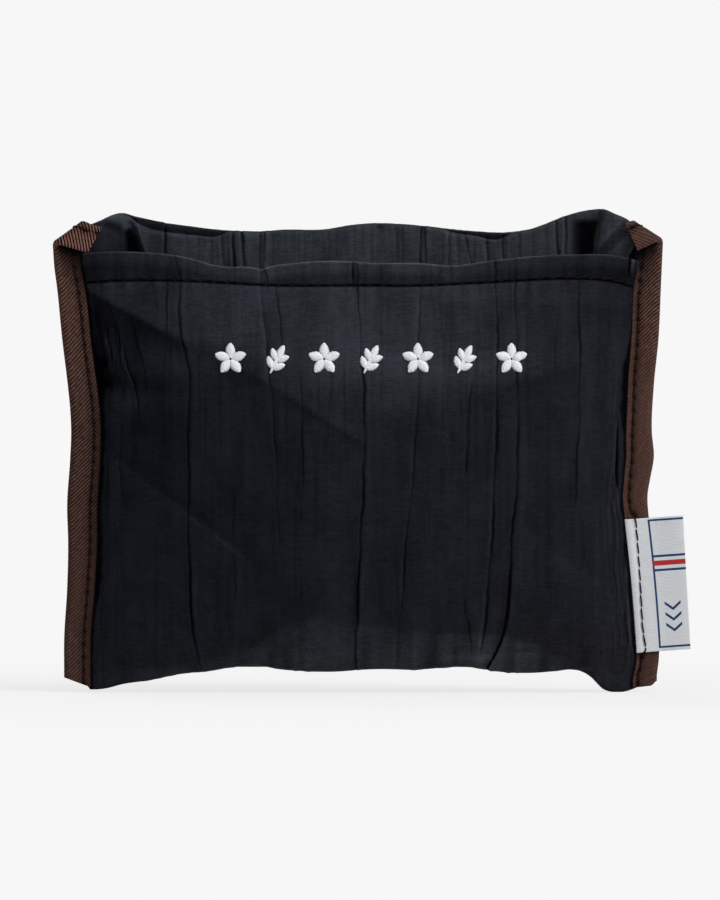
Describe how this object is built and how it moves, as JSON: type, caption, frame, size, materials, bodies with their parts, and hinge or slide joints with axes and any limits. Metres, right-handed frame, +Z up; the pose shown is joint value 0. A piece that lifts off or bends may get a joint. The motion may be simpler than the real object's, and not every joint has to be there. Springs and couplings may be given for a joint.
{
  "type": "packed tote bag",
  "caption": "Crinkle-cloth tote bag folded into its own open pocket, with taped side seams, a stitched hem, embroidery and a woven side label.",
  "frame": {"origin": "middle of the bounding box's footprint, on the surface that the two bottom corners stand on", "axes": "+X across the pocket towards the label, +Y from the embroidered front to the back, +Z up to the open mouth"},
  "size_m": [0.191, 0.0296, 0.1444],
  "materials": {
    "crinkle_cloth": "thin blue-black pleat-crinkled nylon, faint sheen",
    "binding_tape": "dark brown diagonal twill tape",
    "handle_tape": "dark brown twill webbing, folded flat",
    "dark_thread": "blue-black polyester sewing thread",
    "brown_thread": "dark brown polyester sewing thread",
    "white_thread": "white satin-stitch embroidery thread",
    "woven_label": "pale grey damask-woven ribbon"
  },
  "bodies": {
    "pocket": {"pocket_cloth": "crinkle_cloth", "turned_in_rim": "crinkle_cloth", "left_binding_tape": "binding_tape", "right_binding_tape": "binding_tape", "hem_needle_thread": "dark_thread", "hem_bobbin_thread": "dark_thread", "left_binding_needle_thread": "brown_thread", "left_binding_bobbin_thread": "brown_thread", "right_binding_needle_thread": "brown_thread", "right_binding_bobbin_thread": "brown_thread", "label_sewn_strip": "woven_label", "embroidered_motif_1": "white_thread", "embroidered_motif_2": "white_thread", "embroidered_motif_3": "white_thread", "embroidered_motif_4": "white_thread", "embroidered_motif_5": "white_thread", "embroidered_motif_6": "white_thread", "embroidered_motif_7": "white_thread"},
    "label_flap": {"label_free_tab": "woven_label"},
    "folded_tote": {"folded_tote_body": "crinkle_cloth", "folded_handle_left": "handle_tape", "folded_handle_right": "handle_tape"}
  },
  "joints": [
    {"name": "label_flap", "type": "hinge", "parent": "pocket", "child": "label_flap", "pos_m": [0.0817, -0.0018, 0.012], "axis": [0.0821, 0, -0.9966], "range_deg": [0, 130]},
    {"name": "tote_pull_out", "type": "slide", "parent": "pocket", "child": "folded_tote", "axis": [0, 0, 1], "range_m": [0, 0.055]}
  ]
}
